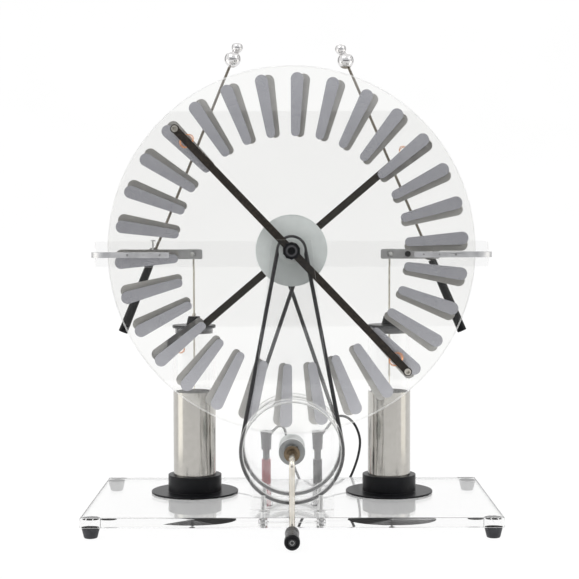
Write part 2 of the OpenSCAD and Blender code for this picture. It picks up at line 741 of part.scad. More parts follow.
// Tube that holds a brush: from behind its bar towards the disc
module holder() translate([holder_r, 0, 0]) difference() {
    shaft(2.95, holder_near, bar_far + 1.3);
    shaft(1.9, 24.5, bar_far + 2);
    shaft(tail_r + seat, holder_near - 1, 23);
}
module front_holders() color("silver") in_front() tilted(front_bar_tilt) both_ends() holder();
module rear_holders() color("silver") behind() tilted(-rear_bar_tilt) both_ends() holder();

// Wire loop that leans from its holder down to just above the sectors
brush_r = 6.2;
brush_wire = 0.45;
brush_lean = 40;
module brush() {
    centre_y = disc_far + sector_t + air + brush_wire + brush_r * sin(brush_lean);
    top = [brush_r * cos(brush_lean), 0, 0];
    reach = holder_r - 13;
    rise = holder_near - 0.9 - centre_y - brush_r * sin(brush_lean);
    run_out = holder_r - reach - top[0];
    translate([reach, centre_y, 0]) {
        rotate([90, 0, brush_lean]) rotate_extrude() translate([brush_r, 0]) circle(brush_wire);
        translate([top[0], brush_r * sin(brush_lean), 0])
            rotate([0, 90, atan2(rise, run_out)]) cylinder(r = tail_r, h = norm([rise, run_out]));
    }
    translate([holder_r, 0, 0]) shaft(tail_r, holder_near - 1.2, 22.8);
}
module front_brushes() color("#c8703f") in_front() tilted(front_bar_tilt) both_ends() brush();
module rear_brushes() color("#c8703f") behind() tilted(-rear_bar_tilt) both_ends() brush();

// ---------------------------------------------------------------- electrodes

// Frame of a left electrode: origin on the pivot, +z up along the tilted rod
module at_electrode(tilt) behind() translate([-stud_x, electrode_out, comb_z])
    rotate([0, tilt, 0]) children();
block_r = 6;
electrode_rod_r = 1.25;
// Distance from the large ball's centre to the flat where the small ball sits
ball_step = 11.6;
flat_at = (pow(ball_step, 2) + pow(ball_d / 2, 2) - pow(small_ball_d / 2, 2)) / (2 * ball_step);

// Pivot block, rod, the two balls at its end and the handle's tang, as one turned and pressed set
module electrode(tilt) at_electrode(tilt) difference() {
    union() {
        shaft(block_r, crossbar_far + air - electrode_out, block_far - electrode_out);
        post(electrode_rod_r, -20, electrode_l);
        translate([0, 0, electrode_l]) sphere(d = ball_d);
        translate([0, 0, electrode_l + ball_step]) sphere(d = small_ball_d);
    }
    shaft(journal_r + run, -10, 10);
}
module left_electrode() color("silver") electrode(left_tilt);
module right_electrode() color("silver") mirror([1, 0, 0]) electrode(right_tilt);

handle_l = 79;
module electrode_handle(tilt) at_electrode(tilt) rotate([180, 0, 0]) difference() {
    translate([0, 0, 6.3]) cylinder(r1 = 3.7, r2 = 4.4, h = handle_l - 6.3);
    post(electrode_rod_r + seat, 0, 20.1);
}
module left_handle() color("#1b1b1e") electrode_handle(left_tilt);
module right_handle() color("#1b1b1e") mirror([1, 0, 0]) electrode_handle(right_tilt);

// ---------------------------------------------------------------- knobs

knob_r = 7.7;
flutes = 10;
module knob(near) translate([0, 0, axle_z]) difference() {
    union() {
        shaft(knob_r, near + 1.5, near + 10);
        shaft(5.6, near, near + 2);
    }
    for (k = [0:flutes - 1]) rotate([0, 360 * k / flutes, 0]) translate([knob_r + 1.6, 0, 0])
        shaft(2.5, near + 1, near + 11);
    shaft(axle_r + run, near - 1, near + 7);
    shaft(3.3, near + 8, near + 11);
}
module front_knob() color("#161618") in_front() knob(upright_far + air);
module rear_knob() color("#161618") behind() knob(crossbar_far + air);

// ---------------------------------------------------------------- nodes

base_plate();
rubber_feet();
frame_screws();
front_upright();
rear_upright();
crossbar();
main_axle();
axle_spacer();
crank_bushes();
left_comb();
right_comb();
comb_pins();
terminal_studs();
stud_nuts();
link_plates();
terminal_screws();
plate_screws();
jar_terminals();
jar_cups();
left_jar_tube();
right_jar_tube();
outer_foils();
inner_foils();
jar_lids();
jar_rods();
jar_contacts();
front_belt();
rear_belt();
red_socket();
black_socket();
socket_nuts();
jar_wires();
patch_plugs();
patch_lead();
crank_rod();
front_drive_wheel();
rear_drive_wheel();
front_wheel_hub();
rear_wheel_hub();
crank_collars();
crank_grip();
grip_screw();
front_disc();
front_sectors();
front_boss();
rear_disc();
rear_sectors();
rear_boss();
front_bar();
front_holders();
front_brushes();
rear_bar();
rear_holders();
rear_brushes();
left_electrode();
right_electrode();
left_handle();
right_handle();
front_knob();
rear_knob();
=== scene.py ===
"""Looks for the hand-cranked Wimshurst machine: clear acrylic, foil sectors, nickel and black parts.

Everything is in metres in the CAD's frame. Lengths written in millimetres are multiplied by MM.
"""
import json
import math

import bmesh
import bpy
from mathutils import Matrix, Vector


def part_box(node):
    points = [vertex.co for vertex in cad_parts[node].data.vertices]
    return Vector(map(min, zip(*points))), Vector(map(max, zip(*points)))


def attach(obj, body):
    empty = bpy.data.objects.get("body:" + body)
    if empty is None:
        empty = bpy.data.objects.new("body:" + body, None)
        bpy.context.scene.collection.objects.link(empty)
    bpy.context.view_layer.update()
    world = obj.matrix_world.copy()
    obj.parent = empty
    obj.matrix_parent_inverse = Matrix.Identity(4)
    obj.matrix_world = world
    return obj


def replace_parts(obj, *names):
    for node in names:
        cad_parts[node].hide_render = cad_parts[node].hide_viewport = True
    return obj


MM = 0.001
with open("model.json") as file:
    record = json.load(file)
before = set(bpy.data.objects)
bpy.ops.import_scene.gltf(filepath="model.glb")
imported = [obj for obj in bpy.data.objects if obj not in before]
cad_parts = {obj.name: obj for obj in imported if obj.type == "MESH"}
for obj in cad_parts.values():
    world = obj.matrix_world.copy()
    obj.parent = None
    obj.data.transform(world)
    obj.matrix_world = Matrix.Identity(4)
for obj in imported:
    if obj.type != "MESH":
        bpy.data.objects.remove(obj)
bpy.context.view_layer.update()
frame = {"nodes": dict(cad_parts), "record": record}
NODES = frame["nodes"]


def box_mm(node):
    """A node's lowest and highest corners in millimetres."""
    low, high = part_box(node)
    return low / MM, high / MM


def middle(node):
    low, high = box_mm(node)
    return (low + high) / 2


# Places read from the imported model, in millimetres
AXLE_Z = middle("main_axle").z
MID_Y = (box_mm("front_disc")[1].y + box_mm("rear_disc")[0].y) / 2
CRANK_Z = middle("front_wheel_hub").z
BASE_LOW, BASE_HIGH = box_mm("base_plate")
COMB_Z = middle("right_comb").z
GRIP_Z = middle("crank_grip").z
GRIP_FRONT = box_mm("crank_grip")[0].y
BELT_OUT = MID_Y - middle("front_drive_wheel").y
SOCKET = middle("black_socket")
SOCKET_TOP = box_mm("black_socket")[1].z
JAR_TOP = box_mm("right_jar_tube")[1].z
JAR_X = middle("right_jar_tube").x
JAR_Y = middle("right_jar_tube").y
DISC_FAR = MID_Y - box_mm("front_disc")[0].y

# Worked out from part.scad: the small ball, its rise over the big one, and the neutralizer bars
SMALL_BALL_R = 5.3
BALL_RISE = 10.7
BALL_Z = box_mm("left_electrode")[1].z - SMALL_BALL_R - BALL_RISE
HOLDER_R = 148.1
FRONT_TILT = math.radians(46.3)
REAR_TILT = math.radians(-40.4)


# ---------------------------------------------------------------- camera

def add_object(name, data):
    obj = bpy.data.objects.new(name, data)
    bpy.context.scene.collection.objects.link(obj)
    return obj


CAMERA_PLACE = (0, -1.277, 0.2644)
CAMERA_LENS, SENSOR_WIDTH = 87.8, 36
PITCH, YAW, ROLL = math.radians(2.355), math.radians(0.085), math.radians(-0.12)


def add_camera():
    """A long lens a little above the axle, looking slightly down."""
    data = bpy.data.cameras.new("camera")
    data.sensor_width = SENSOR_WIDTH
    data.lens = CAMERA_LENS
    data.clip_start = 0.05
    data.clip_end = 60
    cam = add_object("camera", data)
    turn = Matrix.Rotation(YAW, 4, "Z") @ Matrix.Rotation(math.pi / 2 - PITCH, 4, "X")
    cam.matrix_world = Matrix.Translation(CAMERA_PLACE) @ turn @ Matrix.Rotation(ROLL, 4, "Z")
    bpy.context.scene.camera = cam


add_camera()


# ---------------------------------------------------------------- mesh and curve helpers

def add_tubes(name, paths, radius, slot, sides=16, cyclic=False):
    """Round tubes along paths given in millimetres, as one piece on the frame."""
    shape = Shape()
    for path in paths:
        shape.tube(path, radius, sides, cyclic)
    return shape.finish(name, "frame", slot)


def smooth_path(points, times=2):
    """Adds the point halfway along each span of a route, on its smooth curve, a few times over."""
    points = [Vector(p) for p in points]
    for _ in range(times):
        out = []
        last = len(points) - 1
        for i in range(last):
            a, b = points[max(i - 1, 0)], points[i]
            c, d = points[i + 1], points[min(i + 2, last)]
            out += [b, (9 * (b + c) - a - d) / 16]
        points = out + [points[last]]
    return points


def turn_to(direction):
    """Rotation that takes +Z to a direction."""
    return Vector(direction).to_track_quat("Z", "Y").to_matrix().to_4x4()


class Shape:
    """A mesh made of lathe-turned and grid-like pieces, in millimetres."""

    def __init__(self):
        self.bm = bmesh.new()

    def ring(self, place, radii_and_heights):
        """One vertex for each (radius, z), evenly round +Z of a place."""
        step = 2 * math.pi / len(radii_and_heights)
        return [
            self.bm.verts.new(place @ Vector((r * math.cos(k * step), r * math.sin(k * step), z)))
            for k, (r, z) in enumerate(radii_and_heights)]

    def band(self, low, high):
        """Faces between two rings that have as many vertices."""
        for k in range(len(low)):
            n = (k + 1) % len(low)
            self.bm.faces.new((low[k], low[n], high[n], high[k]))

    def lathe(self, profile, place, steps):
        """Turns a closed (r, z) profile about +Z of a place, a 4x4 matrix."""
        rings = [self.ring(place, [point] * steps) for point in profile]
        for low, high in zip(rings, rings[1:] + rings[:1]):
            self.band(low, high)

    def tube(self, path, radius, sides=8, cyclic=False):
        """Sweeps a circle along a path without twisting it."""
        points = [Vector(p) for p in path]
        count = len(points)
        ahead = []
        for i in range(count):
            if cyclic:
                t = points[(i + 1) % count] - points[i - 1]
            else:
                t = points[min(i + 1, count - 1)] - points[max(i - 1, 0)]
            ahead.append(t.normalized())
        side = ahead[0].orthogonal().normalized()
        frames = []
        for t in ahead + ahead[:1]:
            side = (side - side.dot(t) * t).normalized()
            frames.append((side, t.cross(side)))
        first, last = frames[0], frames.pop()
        drift = math.atan2(last[0].dot(first[1]), last[0].dot(first[0])) if cyclic else 0.0
        rings = []
        for i, (p, (side, across)) in enumerate(zip(points, frames)):
            turn = -drift * i / count
            rings.append([
                self.bm.verts.new(p + radius * (math.cos(a) * side + math.sin(a) * across))
                for a in (2 * math.pi * k / sides + turn for k in range(sides))])
        spans = list(zip(rings, rings[1:]))
        if cyclic:
            spans.append((rings[-1], rings[0]))
        for low, high in spans:
            self.band(low, high)
        if not cyclic:
            self.bm.faces.new(rings[0][::-1])
            self.bm.faces.new(rings[-1])

    def socket_head(self, place, radius, height, inner, depth, cross=False):
        """Screw head on +Z of a place, with a hexagon recess or a cross recess."""
        steps = 48
        edge = min(0.35, height * 0.3)

        def recess(k):
            a = 2 * math.pi * k / steps
            if cross:
                return inner * (0.3 + 0.7 * abs(math.cos(2 * a)) ** 3)
            return inner * math.cos(math.pi / 6) / math.cos(a % (math.pi / 3) - math.pi / 6)

        outside = [(radius, 0), (radius, height - edge),
                   (radius - edge * 0.3, height - edge * 0.3), (radius - edge, height)]
        inside = [(1.06, height), (1, height - 0.12), (0.92, height - depth)]
        rings = [self.ring(place, [point] * steps) for point in outside]
        rings += [self.ring(place, [(recess(k) * share, z) for k in range(steps)])
                  for share, z in inside]
        for low, high in zip(rings, rings[1:]):
            self.band(low, high)
        self.bm.faces.new(rings[0][::-1])
        self.bm.faces.new(rings[-1])

    def to_mesh(self, name):
        """The mesh in metres, smooth except over its sharp edges."""
        bmesh.ops.recalc_face_normals(self.bm, faces=self.bm.faces)
        bmesh.ops.scale(self.bm, vec=(MM, MM, MM), verts=self.bm.verts)
        mesh = bpy.data.meshes.new(name)
        self.bm.to_mesh(mesh)
        self.bm.free()
        for p in mesh.polygons:
            p.use_smooth = True
        mesh.set_sharp_from_angle(angle=math.radians(35))
        return mesh

    def finish(self, name, body, slot, material=None):
        """Adds the mesh as a piece, in the slot's own material if no other is named."""
        piece = add_object(name, self.to_mesh(name))
        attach(piece, body)
        piece.data.materials.append(M[material or slot])
        return piece


def along_y(x, y, z, sign):
    """Places +Z of a turned piece along -Y (sign -1) or +Y (sign 1)."""
    return Matrix.Translation((x, y, z)) @ turn_to((0, sign, 0))


def smoothing_group():
    """Geometry nodes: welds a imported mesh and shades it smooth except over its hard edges."""
    group = bpy.data.node_groups.new("weld_and_shade", "GeometryNodeTree")
    group.interface.new_socket("Geometry", in_out="INPUT", socket_type="NodeSocketGeometry")
    group.interface.new_socket("Geometry", in_out="OUTPUT", socket_type="NodeSocketGeometry")
    n, link = group.nodes, group.links.new
    start, end = n.new("NodeGroupInput"), n.new("NodeGroupOutput")
    clear = n.new("GeometryNodeRemoveAttribute")
    clear.inputs["Name"].default_value = "custom_normal"
    weld = n.new("GeometryNodeMergeByDistance")
    weld.inputs["Distance"].default_value = 2e-6
    faces = n.new("GeometryNodeSetShadeSmooth")
    faces.domain = "FACE"
    faces.inputs["Shade Smooth"].default_value = True
    edges = n.new("GeometryNodeSetShadeSmooth")
    edges.domain = "EDGE"
    edges.inputs["Shade Smooth"].default_value = False
    angle = n.new("GeometryNodeInputMeshEdgeAngle")
    hard = n.new("FunctionNodeCompare")
    hard.operation = "GREATER_THAN"
    hard.inputs[1].default_value = math.radians(28)
    link(start.outputs[0], clear.inputs["Geometry"])
    link(clear.outputs[0], weld.inputs["Geometry"])
    link(weld.outputs[0], faces.inputs["Geometry"])
    link(faces.outputs[0], edges.inputs["Geometry"])
    link(angle.outputs["Unsigned Angle"], hard.inputs[0])
    link(hard.outputs[0], edges.inputs["Selection"])
    link(edges.outputs[0], end.inputs[0])
    return group


WELD = smoothing_group()


def dress(node, material, bevel=0.0):
    """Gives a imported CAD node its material, smooth shading and lightly broken edges."""
    obj = NODES[node]
    obj.data.materials.clear()
    obj.data.materials.append(material)
    obj.modifiers.new("weld_and_shade", "NODES").node_group = WELD
    if bevel:
        mod = obj.modifiers.new("edges", "BEVEL")
        mod.width = bevel * MM
        mod.segments = 2
        mod.limit_method = "ANGLE"
        mod.angle_limit = math.radians(40)
        mod.use_clamp_overlap = True
        mod.harden_normals = True
        mod.miter_outer = "MITER_ARC"


# ---------------------------------------------------------------- materials

class Finish:
    """One procedural material: a Principled shader and the nodes that feed it."""

    def __init__(self, name, **sockets):
        self.mat = bpy.data.materials.new(name)
        self.mat.use_nodes = True
        self.tree = self.mat.node_tree
        self.bsdf = self.tree.nodes["Principled BSDF"]
        for key, value in sockets.items():
            self.bsdf.inputs[key.replace("_", " ")].default_value = value
        self.object_out = self.tree.nodes.new("ShaderNodeTexCoord").outputs["Object"]

    def new(self, kind, **props):
        node = self.tree.nodes.new("ShaderNode" + kind)
        for key, value in props.items():
            setattr(node, key, value)
        return node

    def link(self, a, b):
        self.tree.links.new(a, b)

    def coords(self, stretch=(1, 1, 1), turn_y=0.0):
        """Object coordinates in metres, turned about Y and stretched."""
        turned = self.object_out
        if turn_y:
            node = self.new("Mapping")
            node.inputs["Rotation"].default_value = (0, turn_y, 0)
            self.link(turned, node.inputs["Vector"])
            turned = node.outputs[0]
        node = self.new("Mapping")
        node.inputs["Scale"].default_value = stretch
        self.link(turned, node.inputs["Vector"])
        return node.outputs[0]

    def math(self, operation, a, b=None):
        node = self.new("Math", operation=operation)
        for socket, value in zip(node.inputs, (a, b)):
            if value is None:
                continue
            if isinstance(value, (int, float)):
                socket.default_value = value
            else:
                self.link(value, socket)
        return node.outputs[0]

    def around(self, centre, axis="Y", both=False, spread=1.0):
        """(radius, height, 0) about an axis through a centre in metres: turning marks follow it."""
        split = self.new("SeparateXYZ")
        self.link(self.object_out, split.inputs[0])
        x, y, z = split.outputs
        x = self.math("ABSOLUTE", x) if both else x
        first, second, height = (x, z, y) if axis == "Y" else (x, y, z)
        picks = (0, 2, 1) if axis == "Y" else (0, 1, 2)
        first = self.math("SUBTRACT", first, centre[picks[0]])
        second = self.math("SUBTRACT", second, centre[picks[1]])
        square = self.math(
            "ADD", self.math("MULTIPLY", first, first), self.math("MULTIPLY", second, second))
        radius = self.math("SQRT", square)
        angle = self.math("MULTIPLY", self.math("ARCTAN2", first, second), spread * MM)
        join = self.new("CombineXYZ")
        self.link(radius, join.inputs[0])
        self.link(height, join.inputs[1])
        self.link(angle, join.inputs[2])
        return join.outputs[0]

    def noise(self, vector, scale, detail=3.0):
        node = self.new("TexNoise")
        node.inputs["Scale"].default_value = scale
        node.inputs["Detail"].default_value = detail
        node.inputs["Roughness"].default_value = 0.55
        self.link(vector, node.inputs["Vector"])
        return node.outputs["Fac"]

    def ramp(self, value, *stops):
        node = self.new("ValToRGB")
        elements = node.color_ramp.elements
        while len(elements) < len(stops):
            elements.new(0.5)
        for element, (place, colour) in zip(elements, stops):
            element.position = place
            element.color = (*colour, 1)
        self.link(value, node.inputs[0])
        return node.outputs[0]

    def remap(self, value, low, high, out_low, out_high):
        node = self.new("MapRange")
        for key, number in zip(("From Min", "From Max", "To Min", "To Max"),
                               (low, high, out_low, out_high)):
            node.inputs[key].default_value = number
        self.link(value, node.inputs["Value"])
        return node.outputs[0]

    def mix(self, share, a, b):
        node = self.new("Mix", data_type="RGBA")
        self.link(share, node.inputs["Factor"])
        for socket, value in ((node.inputs[6], a), (node.inputs[7], b)):
            if isinstance(value, tuple):
                socket.default_value = (*value, 1)
            else:
                self.link(value, socket)
        return node.outputs[2]

    def colour(self, value):
        self.link(value, self.bsdf.inputs["Base Color"])

    def rough(self, value):
        self.link(value, self.bsdf.inputs["Roughness"])

    def bump(self, height, depth_mm, strength=1.0):
        node = self.new("Bump")
        node.inputs["Strength"].default_value = strength
        node.inputs["Distance"].default_value = depth_mm * MM
        self.link(height, node.inputs["Height"])
        if self.bsdf.inputs["Normal"].is_linked:
            self.link(self.bsdf.inputs["Normal"].links[0].from_socket, node.inputs["Normal"])
        self.link(node.outputs[0], self.bsdf.inputs["Normal"])


def acrylic(name, tint=(0.978, 0.98, 0.978), wear_centre=None, flat="Y", edge=0.0):
    """Clear acrylic with faint hairlines: a disc's are rubbed round, and edges left by the saw are
    milky and glow with painted light, as strongly as edge sets.
    """
    f = Finish(name, Base_Color=(*tint, 1), Transmission_Weight=1.0, IOR=1.49)
    hair = f.noise(f.coords((60, 900, 1400)), 1.0, 2.0)
    value = f.remap(hair, 0.66, 0.8, 0.0, 0.05)
    if wear_centre:
        rings = f.noise(f.around(wear_centre, spread=30), 1600, 2.0)
        value = f.math("ADD", value, f.remap(rings, 0.55, 0.8, 0.0, 0.04))
    if edge:
        split = f.new("SeparateXYZ")
        f.link(f.new("NewGeometry").outputs["Normal"], split.inputs[0])
        across = f.math("ABSOLUTE", split.outputs["XYZ".index(flat)])
        milky_and_glowing_edge = f.remap(across, 0.6, 0.97, 1.0, 0.0)
        value = f.math("ADD", value, f.math("MULTIPLY", milky_and_glowing_edge, 0.35))
        f.link(f.remap(milky_and_glowing_edge, 0, 1, 1, 1 - edge), f.bsdf.inputs["Transmission Weight"])
        f.colour(f.mix(milky_and_glowing_edge, tint, (0.93, 0.93, 0.92)))
        # Painted light: the edge faces glow with a white emission. Their milky white colour is the
        # cut acrylic's own.
        f.bsdf.inputs["Emission Color"].default_value = (1, 1, 0.99, 1)
        f.link(f.remap(milky_and_glowing_edge, 0, 1, 0, 0.45 * edge), f.bsdf.inputs["Emission Strength"])
    f.rough(value)
    return f.mat


def foil(name, light, dark, rough):
    """Thin metal foil, rolled smooth, a little uneven where it is glued down."""
    f = Finish(name, Metallic=0.9)
    cloud = f.noise(f.coords(), 90, 4.0)
    grain = f.noise(f.coords(), 2600, 2.0)
    f.colour(f.ramp(cloud, (0.3, dark), (0.7, light)))
    f.rough(f.remap(grain, 0.3, 0.7, *rough))
    f.bump(f.noise(f.coords(), 240, 2.0), 0.02, 0.5)
    f.bump(grain, 0.004, 0.4)
    return f.mat


def turned_metal(name, light, dark, centre, rough, depth=0.012, painted_front_shade=None):
    """Machined metal with fine marks left by the lathe tool; the last argument, if given, is a darker
    tone painted on faces that look towards -Y: painted shade on the front side.
    """
    f = Finish(name, Metallic=1.0)
    marks = f.noise(f.around(centre, spread=2), 3800)
    cloud = f.noise(f.coords(), 120, 3.0)
    tone = f.ramp(cloud, (0.3, dark), (0.72, light))
    # Painted shade: faces turned towards -Y take the darker front tone.
    if painted_front_shade:
        split = f.new("SeparateXYZ")
        f.link(f.new("NewGeometry").outputs["Normal"], split.inputs[0])
        tone = f.mix(f.remap(split.outputs[1], -0.5, -0.95, 0, 1), tone, painted_front_shade)
    f.colour(tone)
    f.rough(f.remap(marks, 0.3, 0.7, *rough))
    f.bump(marks, depth, 0.6)
    return f.mat


def plated(name, light, dark, rough=(0.1, 0.26), stretch=(1, 1, 1), grain=1400):
    """Nickel or chrome plate: bright, with soft smears and a faint grain along the part."""
    f = Finish(name, Metallic=1.0)
    smear = f.noise(f.coords(), 140, 4.0)
    lines = f.noise(f.coords(stretch), grain, 2.0)
    f.colour(f.ramp(smear, (0.28, dark), (0.7, light)))
    both = f.math("ADD", f.math("MULTIPLY", smear, 0.5), f.math("MULTIPLY", lines, 0.5))
    f.rough(f.remap(both, 0.35, 0.65, *rough))
    f.bump(lines, 0.004, 0.35)
    return f.mat


def electrode_chrome(name, ball_z):
    """Mirror chrome from the big ball's foot upwards, dull dark plate on the rods below it."""
    f = Finish(name, Metallic=1.0)
    split = f.new("SeparateXYZ")
    f.link(f.object_out, split.inputs[0])
    smear = f.noise(f.coords(), 140, 4.0)
    on_ball = f.remap(split.outputs[2], ball_z - 7.8 * MM, ball_z - 6.8 * MM, 0.0, 1.0)
    bright = f.ramp(smear, (0.28, (0.7, 0.69, 0.69)), (0.7, (0.8, 0.79, 0.79)))
    dull = f.ramp(smear, (0.28, (0.17, 0.15, 0.125)), (0.7, (0.25, 0.225, 0.19)))
    f.colour(f.mix(on_ball, dull, bright))
    grain = f.noise(f.coords(), 1400, 2.0)
    f.rough(f.math("ADD", f.remap(grain, 0.35, 0.65, 0.03, 0.09),
                   f.math("MULTIPLY", f.math("SUBTRACT", 1.0, on_ball), 0.2)))
    f.bump(grain, 0.002, 0.3)
    return f.mat


def plastic(name, light, dark, rough=(0.3, 0.45), grain=1500, depth=0.012, path=None, level=0.5):
    """Moulded or turned plastic with a fine skin."""
    f = Finish(name, Specular_IOR_Level=level)
    vector = f.around(*path) if path else f.coords()
    skin = f.noise(vector, grain)
    cloud = f.noise(f.coords(), 70)
    f.colour(f.ramp(cloud, (0.3, dark), (0.7, light)))
    f.rough(f.remap(skin, 0.3, 0.7, *rough))
    f.bump(skin, depth, 0.6)
    return f.mat


def rubber(name, light, dark, rough=(0.42, 0.6)):
    """Soft black rubber with a matt skin and a little dust."""
    f = Finish(name, Specular_IOR_Level=0.45)
    skin = f.noise(f.coords(), 2400, 3.0)
    dust = f.noise(f.coords(), 160, 4.0)
    f.colour(f.ramp(dust, (0.35, dark), (0.75, light)))
    f.rough(f.remap(skin, 0.3, 0.7, *rough))
    f.bump(skin, 0.015, 0.6)
    return f.mat


def bronzed_bar(name, tilt, brown=1.0):
    """Dark lacquered flat bar: drawn grain along it, a lighter brown in patches along its long edges;
    brown lightens and warms the whole colour, painted light for the rear bar seen through the discs.
    """
    f = Finish(name, Metallic=0.3, Specular_IOR_Level=0.3, Coat_Weight=0.08, Coat_Roughness=0.3)
    grain = f.noise(f.coords((40, 900, 1500), tilt), 1.0)
    from_axle = f.new("Mapping")
    from_axle.inputs["Location"].default_value = (0, 0, -AXLE_Z * MM)
    f.link(f.object_out, from_axle.inputs["Vector"])
    turned = f.new("Mapping")
    turned.inputs["Rotation"].default_value = (0, tilt, 0)
    f.link(from_axle.outputs[0], turned.inputs["Vector"])
    split = f.new("SeparateXYZ")
    f.link(turned.outputs[0], split.inputs[0])
    edge = f.remap(f.math("ABSOLUTE", split.outputs[2]), 2.1 * MM, 2.7 * MM, 0, 1)
    # A lighter brown in patches along the bar's long edges.
    light_edge_patches = f.math("MULTIPLY", edge, f.remap(f.noise(f.coords(), 500, 4.0), 0.42, 0.62, 0, 1))
    # brown above 1 lightens and warms the whole colour: painted light.
    dark, light = (0.013 * brown, 0.0105 * brown, 0.009), (0.024 * brown, 0.019 * brown, 0.0155)
    base = f.ramp(grain, (0.3, dark), (0.72, light))
    f.colour(f.mix(light_edge_patches, base, (0.04, 0.031, 0.023)))
    f.rough(f.remap(grain, 0.3, 0.7, 0.3, 0.48))
    f.bump(grain, 0.01, 0.6)
    return f.mat


AXLE = (0, 0, AXLE_Z * MM)
CRANK = (0, 0, CRANK_Z * MM)
JAR = (JAR_X * MM, JAR_Y * MM, 0)
M = {
    "clear_base": acrylic("clear_base", (0.962, 0.962, 0.96), flat="Z"),
    # edge sets how milky the cut edges are and how much painted light they glow with.
    "clear_plate": acrylic("clear_plate", (0.99, 0.99, 0.99), edge=0.7),
    "clear_wheel": acrylic("clear_wheel", (0.99, 0.99, 0.99), edge=0.55),
    "clear_disc": acrylic("clear_disc", (0.99, 0.99, 0.984), AXLE, edge=0.7),
    "clear_tube": acrylic("clear_tube", (0.99, 0.99, 0.99)),
    "foot_rubber": rubber("foot_rubber", (0.045, 0.047, 0.055), (0.02, 0.021, 0.025)),
    "screw_steel": plated("screw_steel", (0.62, 0.62, 0.62), (0.46, 0.46, 0.46), (0.2, 0.36)),
    "axle_steel": turned_metal(
        "axle_steel", (0.62, 0.61, 0.6), (0.45, 0.45, 0.44), AXLE, rough=(0.16, 0.3)),
    "spacer": plastic("spacer", (0.55, 0.52, 0.42), (0.42, 0.39, 0.3)),
    "nickel": plated("nickel", (0.78, 0.75, 0.69), (0.6, 0.56, 0.49), (0.1, 0.24)),
    "comb_alloy": plated(
        "comb_alloy", (0.66, 0.66, 0.67), (0.54, 0.54, 0.55), (0.34, 0.48), (0.05, 1, 2), 1500),
    "bush_bronze": turned_metal(
        "bush_bronze", (0.24, 0.185, 0.125), (0.14, 0.105, 0.07), CRANK, rough=(0.2, 0.38)),
    "black_screw": plastic("black_screw", (0.02, 0.02, 0.023), (0.011, 0.011, 0.013), (0.2, 0.34)),
    "knob_ring": plastic("knob_ring", (0.075, 0.075, 0.08), (0.05, 0.05, 0.055), (0.2, 0.3)),
    "black_cup": plastic(
        "black_cup", (0.009, 0.0095, 0.012), (0.005, 0.0053, 0.007), (0.3, 0.42), 2600, 0.01,
        (JAR, "Z", True, 2.0), level=0.2),
    "foil": plated("foil", (0.5, 0.485, 0.455), (0.45, 0.435, 0.405), (0.12, 0.2), (1, 1, 0.03), 700),
    "contact_wire": plated("contact_wire", (0.75, 0.62, 0.36), (0.6, 0.46, 0.24)),
    "belt": rubber("belt", (0.03, 0.03, 0.033), (0.014, 0.014, 0.016), (0.24, 0.38)),
    "red_plastic": plastic("red_plastic", (0.62, 0.05, 0.075), (0.48, 0.03, 0.05), (0.2, 0.34)),
    "black_plastic": plastic(
        "black_plastic", (0.009, 0.009, 0.011), (0.005, 0.005, 0.0065), (0.22, 0.36), level=0.16),
    "plug_grey": plastic("plug_grey", (0.06, 0.062, 0.075), (0.035, 0.036, 0.045), (0.36, 0.5)),
    "wire_grey": plastic("wire_grey", (0.3, 0.3, 0.31), (0.2, 0.2, 0.21), (0.35, 0.5)),
    "lead_black": rubber("lead_black", (0.03, 0.03, 0.034), (0.015, 0.015, 0.018), (0.34, 0.5)),
    # The hub's front side is painted darker: painted shade.
    "hub_grey": turned_metal(
        "hub_grey", (0.66, 0.69, 0.67), (0.54, 0.57, 0.56), CRANK, rough=(0.3, 0.46), depth=0.02,
        painted_front_shade=(0.3, 0.31, 0.31)),
    "boss_grey": plastic(
        "boss_grey", (0.68, 0.715, 0.7), (0.6, 0.635, 0.62), (0.3, 0.44), 2400, 0.014,
        (AXLE, "Y", False, 2.0)),
    "front_foil": foil("front_foil", (0.58, 0.58, 0.61), (0.53, 0.53, 0.56), (0.22, 0.32)),
    # The rear sectors are the same foil, painted lighter and warmer for their look through the clear
    # disc: painted light.
    "rear_foil": foil("rear_foil", (0.68, 0.665, 0.64), (0.6, 0.585, 0.565), (0.3, 0.42)),
    "front_bar": bronzed_bar("front_bar_bronze", FRONT_TILT),
    # The rear bar, seen through the discs, is painted lighter and warmer than the front one: painted
    # light.
    "rear_bar": bronzed_bar("rear_bar_bronze", REAR_TILT, brown=1.6),
    "copper": plated("copper", (0.83, 0.42, 0.22), (0.62, 0.27, 0.12), (0.2, 0.35)),
    "ball_chrome": electrode_chrome("ball_chrome", BALL_Z * MM),
    "frosted": plastic("frosted", (0.72, 0.73, 0.74), (0.6, 0.61, 0.62), (0.3, 0.45)),
}

